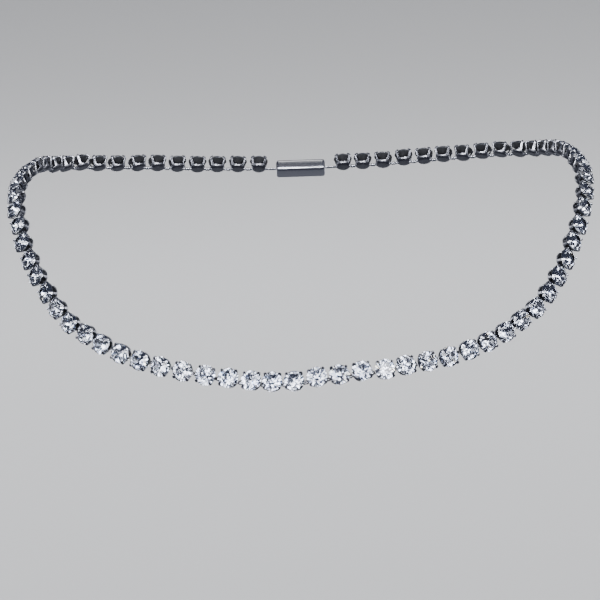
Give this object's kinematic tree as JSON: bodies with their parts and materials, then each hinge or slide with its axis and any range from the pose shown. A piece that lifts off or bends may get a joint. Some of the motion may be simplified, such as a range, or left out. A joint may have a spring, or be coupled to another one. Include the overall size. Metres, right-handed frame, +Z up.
{
  "type": "choker necklace",
  "caption": "Close-fitting necklace of round cut stones in claw cups, one row all the way round, shown as worn, with a plain box clasp at the back.",
  "frame": {"origin": "middle of the space inside the loop, which the neck fills: midway across and from front to back, and midway between the lowest and the highest stone", "axes": "+Z up as worn, -Y towards the front, where the middle stones look, and +X to the right seen from the front"},
  "size_m": [0.1234, 0.0872, 0.0425],
  "materials": {
    "cut_crystal": "clear foil-backed crystal, cut and polished, in silver-tone claw cups",
    "silver_plate": "bright polished silver-tone plating"
  },
  "bodies": {
    "root": {"stone_chain_right": "cut_crystal", "stone_chain_left": "cut_crystal", "clasp": "silver_plate"}
  },
  "joints": []
}
